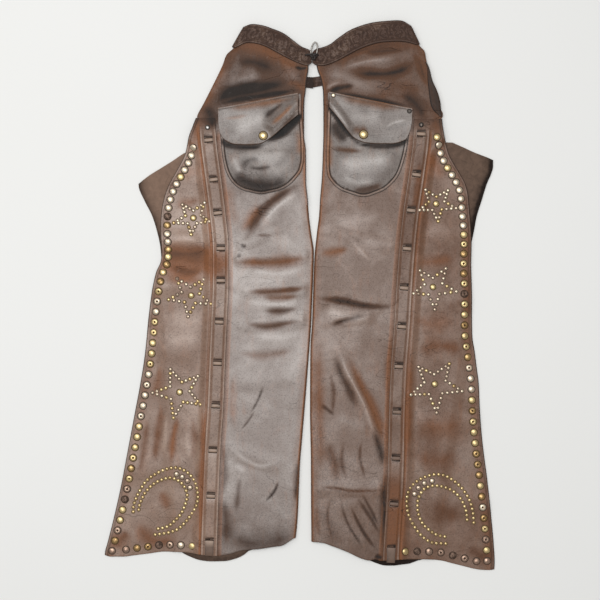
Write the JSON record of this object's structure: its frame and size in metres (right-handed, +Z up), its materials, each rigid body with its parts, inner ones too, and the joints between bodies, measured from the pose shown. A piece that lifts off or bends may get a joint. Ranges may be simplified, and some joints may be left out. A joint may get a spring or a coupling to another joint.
{
  "type": "leather chaps",
  "caption": "Studded batwing leather chaps laid flat, with laced wings, flap pockets, a tooled contoured belt and a front tie.",
  "frame": {"origin": "centre of the bounding box in X and Y, on the floor that the chaps lie on", "axes": "+Y from the hems towards the belt, +X towards the viewer's right, +Z up from the floor to the chaps' front"},
  "size_m": [0.683, 0.961, 0.0186],
  "materials": {
    "leg_leather": "satin dark brown, worn, rusty in the creases",
    "wing_leather": "satin reddish dark brown, worn",
    "pocket_leather": "satin dark brown",
    "belt_leather": "tooled, near-black brown",
    "lace_leather": "pale tan, matte, rubbed",
    "brass": "worn, softly polished",
    "steel": "worn, softly polished"
  },
  "bodies": {
    "root": {"leg_left": "leg_leather", "leg_right": "leg_leather", "hip_facing_right": "leg_leather", "wing_left": "wing_leather", "wing_right": "wing_leather", "pouch_left": "pocket_leather", "pouch_right": "pocket_leather", "flap_left": "pocket_leather", "flap_right": "pocket_leather", "belt_left": "belt_leather", "belt_right": "belt_leather", "front_tie": "belt_leather", "lace_left": "lace_leather", "lace_right": "lace_leather", "snap_left": "brass", "snap_right": "brass", "flap_rivet_inner": "brass", "lace_rivet_left": "steel", "lace_rivet_right": "steel", "flap_rivet_outer": "steel", "tie_ring": "steel"}
  },
  "joints": []
}
